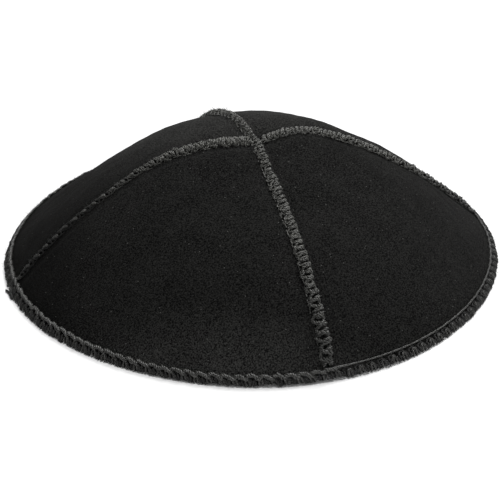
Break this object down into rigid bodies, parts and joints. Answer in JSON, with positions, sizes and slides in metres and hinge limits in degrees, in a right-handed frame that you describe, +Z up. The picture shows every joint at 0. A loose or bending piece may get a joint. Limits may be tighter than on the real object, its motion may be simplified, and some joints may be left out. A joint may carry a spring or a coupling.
{
  "type": "kippah skullcap",
  "caption": "Shallow dome cap of black suede gores with raised overlocked seams and an overlocked rim, open underneath to sit on the crown of a head.",
  "frame": {"origin": "middle of the rim, on the plane that the rim rests on", "axes": "+Z up along the dome's axis, -Y towards the front end of the long seam, +X to the right of someone who looks at the front"},
  "size_m": [0.1712, 0.1712, 0.0476],
  "materials": {
    "suede": "black suede, napped, matt",
    "thread": "black spun overlock thread, slightly fuzzy"
  },
  "bodies": {
    "root": {"panel_front_left": "suede", "panel_front_right": "suede", "panel_back_right": "suede", "panel_back_left": "suede", "long_seam": "thread", "left_seam": "thread", "right_seam": "thread", "rim_binding": "thread"}
  },
  "joints": []
}
